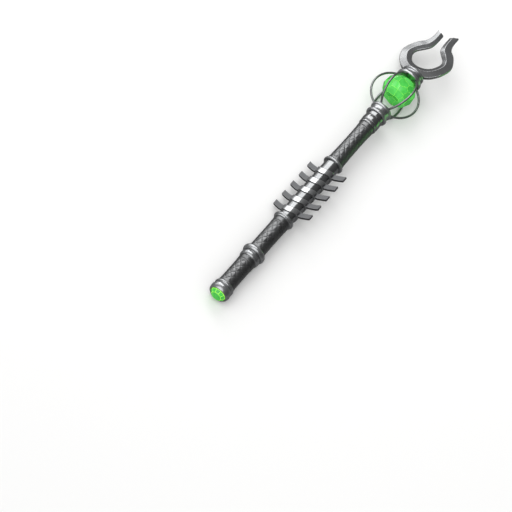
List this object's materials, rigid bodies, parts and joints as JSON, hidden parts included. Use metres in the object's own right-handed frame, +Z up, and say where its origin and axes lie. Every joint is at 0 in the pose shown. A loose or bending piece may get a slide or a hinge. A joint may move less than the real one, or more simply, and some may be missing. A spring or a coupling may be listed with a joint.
{
  "type": "fantasy staff",
  "caption": "Steel ceremonial staff, lying loose: jewelled pommel, engraved shaft, ribbed sleeve, wire globe cage round a cut green stone, and a two-pronged ridged fork at the head.",
  "frame": {"origin": "on the ground under the middle of the lying staff", "axes": "+X along the staff from the pommel to the fork, +Z up from the ground"},
  "size_m": [0.9434, 0.1256, 0.1087],
  "materials": {
    "polished_steel": "polished",
    "engraved_steel": "satin, engraved",
    "green_stone": "cut and polished"
  },
  "bodies": {
    "root": {"pommel_gem": "green_stone", "pommel_cap": "polished_steel", "grip_tube": "engraved_steel", "double_collar": "polished_steel", "middle_tube": "engraved_steel", "lower_ring": "polished_steel", "rib_sleeve": "polished_steel", "rib_1": "polished_steel", "rib_2": "polished_steel", "rib_3": "polished_steel", "rib_4": "polished_steel", "rib_5": "polished_steel", "upper_ring": "polished_steel", "upper_tube": "engraved_steel", "neck_ferrule": "polished_steel", "lower_cage_collar": "polished_steel", "cage_wire_1": "polished_steel", "cage_wire_2": "polished_steel", "cage_wire_3": "polished_steel", "cage_wire_4": "polished_steel", "cage_wire_5": "polished_steel", "cage_wire_6": "polished_steel", "cage_gem": "green_stone", "upper_cage_collar": "polished_steel", "fork_head": "polished_steel"}
  },
  "joints": []
}
